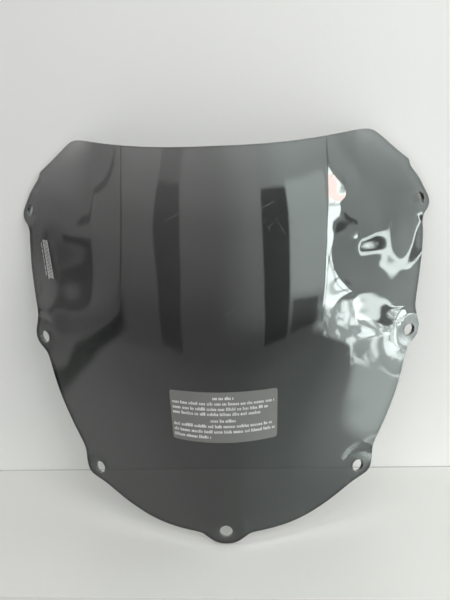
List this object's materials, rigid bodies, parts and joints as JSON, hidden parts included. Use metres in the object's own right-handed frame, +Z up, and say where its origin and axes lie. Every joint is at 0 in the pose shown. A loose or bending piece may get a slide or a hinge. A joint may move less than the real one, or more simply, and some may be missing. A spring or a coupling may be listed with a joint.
{
  "type": "windshield screen",
  "caption": "Moulded smoke-tinted windshield screen for a motorcycle fairing: a raised centre bubble, swept-back wings and drilled fastening tabs along its edge.",
  "frame": {"origin": "bottom centre of the bounding box, below the middle of the sheet", "axes": "+Z up as the screen stands on its lower tip and leans back, +X to the right of a person who looks at its outer face, +Y towards the rider's side; the outer convex face looks along -Y"},
  "size_m": [0.3498, 0.1118, 0.3124],
  "materials": {
    "smoke_acrylic": "polished smoke-tinted acrylic sheet, 3 mm, light transmission about 8 to 10 percent, cut edges lightly polished",
    "label_film": null,
    "printed_ink": "thin satin off-white screen-printed ink"
  },
  "bodies": {
    "root": {"screen_panel": "smoke_acrylic", "info_label": "label_film", "side_mark": "printed_ink"}
  },
  "joints": []
}
